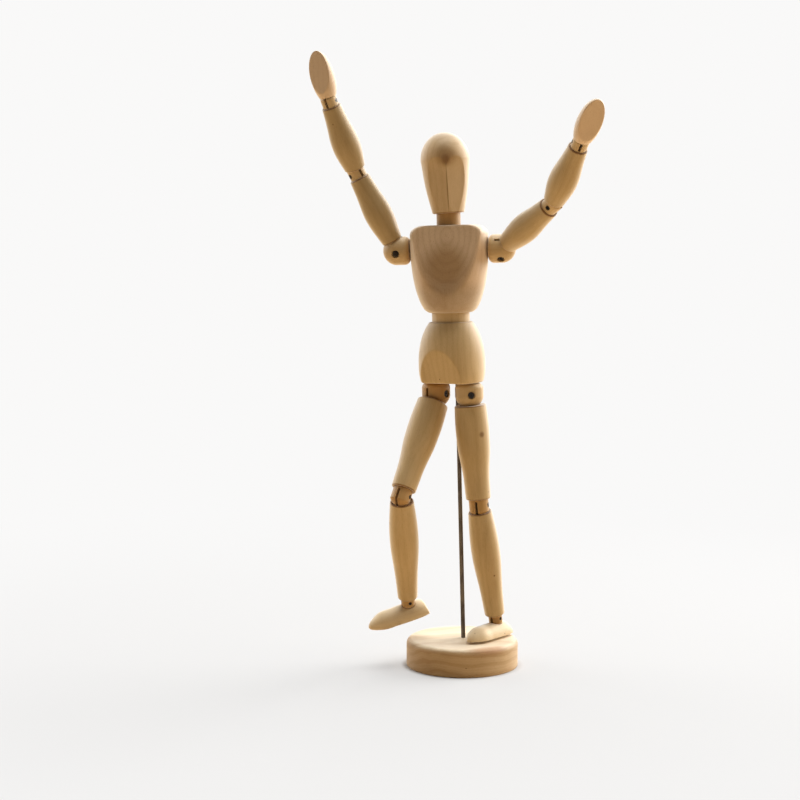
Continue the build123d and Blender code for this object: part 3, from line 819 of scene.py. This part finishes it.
# steels: bright rod, dark pins and tangs
rodSteel = {"tarnish": 0.7, "clean": (0.13, 0.115, 0.10, 1), "brown": (0.045, 0.033, 0.027, 1)}
pinSteel = {"tarnish": 0.8, "clean": (0.035, 0.032, 0.03, 1), "brown": (0.016, 0.012, 0.010, 1)}
rodFoot = np.array(joints["figure_turn"]["pos_m"])
rodAxes = axesFrom(np.array(joints["figure_turn"]["axis"]), np.array([1.0, 0, 0]))
dress(nodes["support_rod"], steelMaterial("support_rod", rodFoot, rodAxes, rodSteel))
darkSteel = steelMaterial("joint_steel", np.zeros(3), np.eye(3), pinSteel)
for node in nodes:
    if node.endswith(("_pins", "_tang")):
        dress(nodes[node], darkSteel)
print("stand and steel dressed")

# floor, light and camera; lengths in metres
stage = {
    "floor": 6.0, "floorColour": (0.60, 0.605, 0.615, 1), "bounceColour": (0.72, 0.54, 0.34, 1), "floorRough": 0.9,
    "floorSpecular": 0.1, "white": (0.95, 0.945, 0.94, 1), "whiteFrom": 0.12, "whiteTo": 0.6, "lift": 0.5,
    "shadeFrom": 0.0325, "shadeTo": 0.037, "ambientColour": (1, 0.86, 0.68, 1), "ambient": 0.06}


def makeFloor():
    # a plane that grows whiter with the distance from the disc; the eye sees it grey, the wood sees it warm
    half = stage["floor"] / 2
    corners = [(-half, -half, 0), (half, -half, 0), (half, half, 0), (-half, half, 0)]
    mesh = bpy.data.meshes.new("floor")
    mesh.from_pydata(corners, [], [(0, 1, 2, 3)])
    floor = bpy.data.objects.new("floor", mesh)
    scene.collection.objects.link(floor)
    material, tree, shader = newMaterial("floor")
    shader.inputs["Roughness"].default_value = stage["floorRough"]
    shader.inputs["Specular IOR Level"].default_value = stage["floorSpecular"]
    source = tree.nodes.new("ShaderNodeTexCoord")
    distance = vectorMath(tree, "LENGTH", source.outputs["Object"])
    away = mapRange(tree, distance, stage["whiteFrom"], stage["whiteTo"], stage["lift"], 1.0)
    # the shade right under the disc stays dark
    away = mathNode(tree, "MULTIPLY", away, mapRange(tree, distance, stage["shadeFrom"], stage["shadeTo"]))
    white = tree.nodes.new("ShaderNodeEmission")
    white.inputs["Color"].default_value = stage["white"]
    seen = tree.nodes.new("ShaderNodeLightPath").outputs["Is Camera Ray"]
    tone = mixColour(tree, seen, stage["bounceColour"], stage["floorColour"])
    tree.links.new(tone, shader.inputs["Base Color"])
    blend = tree.nodes.new("ShaderNodeMixShader")
    tree.links.new(mathNode(tree, "MULTIPLY", away, seen), blend.inputs[0])
    tree.links.new(shader.outputs[0], blend.inputs[1])
    tree.links.new(white.outputs[0], blend.inputs[2])
    tree.links.new(blend.outputs[0], tree.nodes["Material Output"].inputs["Surface"])
    dress(floor, material)


makeFloor()

lamps = {
    "rightBox": {"at": (1.80, 0.80, 1.10), "aim": (0, 0, 0.2), "size": 1.7, "power": 64, "tint": (1, 0.98, 0.95)},
    "leftBox": {"at": (-1.80, 0.90, 0.95), "aim": (0, 0, 0.2), "size": 1.6, "power": 20, "tint": (1, 0.98, 0.95)},
    "topBox": {"at": (0.1, 0.36, 2.20), "aim": (0, 0, 0.18), "size": 1.6, "power": 44, "tint": (1, 0.99, 0.97)},
}
for name, lamp in lamps.items():
    light = bpy.data.lights.new(name, "AREA")
    light.shape, light.size, light.energy, light.color = "SQUARE", lamp["size"], lamp["power"], lamp["tint"]
    holder = bpy.data.objects.new(name, light)
    scene.collection.objects.link(holder)
    backward = np.array(lamp["at"]) - np.array(lamp["aim"])
    turned = Matrix(axesFrom(backward, np.array([1.0, 0, 0])).tolist()).to_4x4()
    holder.matrix_world = Matrix.Translation(lamp["at"]) @ turned

# the eye and the gloss see a white backdrop, the rest gets a faint warm light
world = bpy.data.worlds.new("studio")
scene.world = world
world.use_nodes = True
worldTree = world.node_tree
ambient = worldTree.nodes["Background"]
ambient.inputs["Color"].default_value = stage["ambientColour"]
ambient.inputs["Strength"].default_value = stage["ambient"]
backdrop = worldTree.nodes.new("ShaderNodeBackground")
backdrop.inputs["Color"].default_value = stage["white"]
path = worldTree.nodes.new("ShaderNodeLightPath")
either = mathNode(worldTree, "MAXIMUM", path.outputs["Is Camera Ray"], path.outputs["Is Glossy Ray"])
blend = worldTree.nodes.new("ShaderNodeMixShader")
worldTree.links.new(either, blend.inputs[0])
worldTree.links.new(ambient.outputs[0], blend.inputs[1])
worldTree.links.new(backdrop.outputs[0], blend.inputs[2])
worldTree.links.new(blend.outputs[0], worldTree.nodes["World Output"].inputs["Surface"])

photoCamera = {"at": (-0.0367, -1.0, 0.255), "down": 5.6, "lens": 77.58, "sensor": 36.0}
cameraData = bpy.data.cameras.new("photoCamera")
cameraData.lens, cameraData.sensor_width = photoCamera["lens"], photoCamera["sensor"]
camera = bpy.data.objects.new("photoCamera", cameraData)
camera.location = photoCamera["at"]
camera.rotation_euler = (math.radians(90 - photoCamera["down"]), 0, 0)
scene.collection.objects.link(camera)
scene.camera = camera
scene.view_settings.view_transform = "Standard"
print("stage set")
